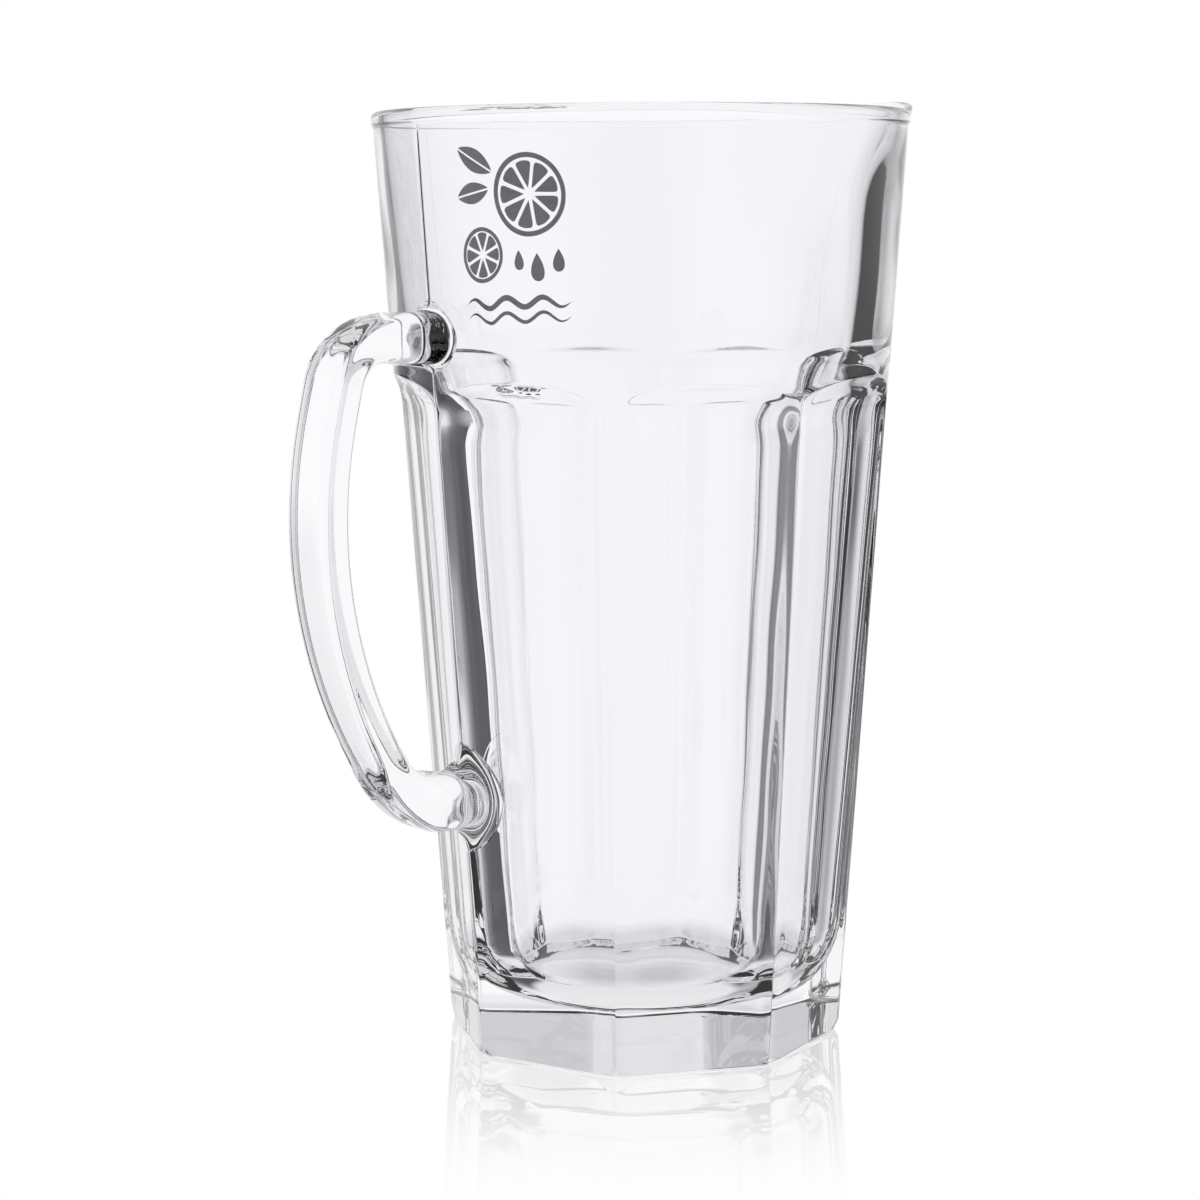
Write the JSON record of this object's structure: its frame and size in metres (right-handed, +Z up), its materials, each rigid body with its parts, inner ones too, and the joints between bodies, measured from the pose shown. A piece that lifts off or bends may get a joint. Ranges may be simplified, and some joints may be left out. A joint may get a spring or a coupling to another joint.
{
  "type": "lemonade pitcher",
  "caption": "Clear pressed glass pitcher with a faceted lower body, round flared top, pulled pouring spout and a fused glass loop handle.",
  "frame": {"origin": "centre of the flat underside, on the vessel's axis", "axes": "+Z up along the vessel's axis, +X towards the spout, handle towards -X"},
  "size_m": [0.1838, 0.135, 0.2388],
  "materials": {
    "vessel_glass": "clear, fire polished",
    "handle_glass": "clear, fire polished"
  },
  "bodies": {
    "root": {"vessel": "vessel_glass", "handle": "handle_glass"}
  },
  "joints": []
}
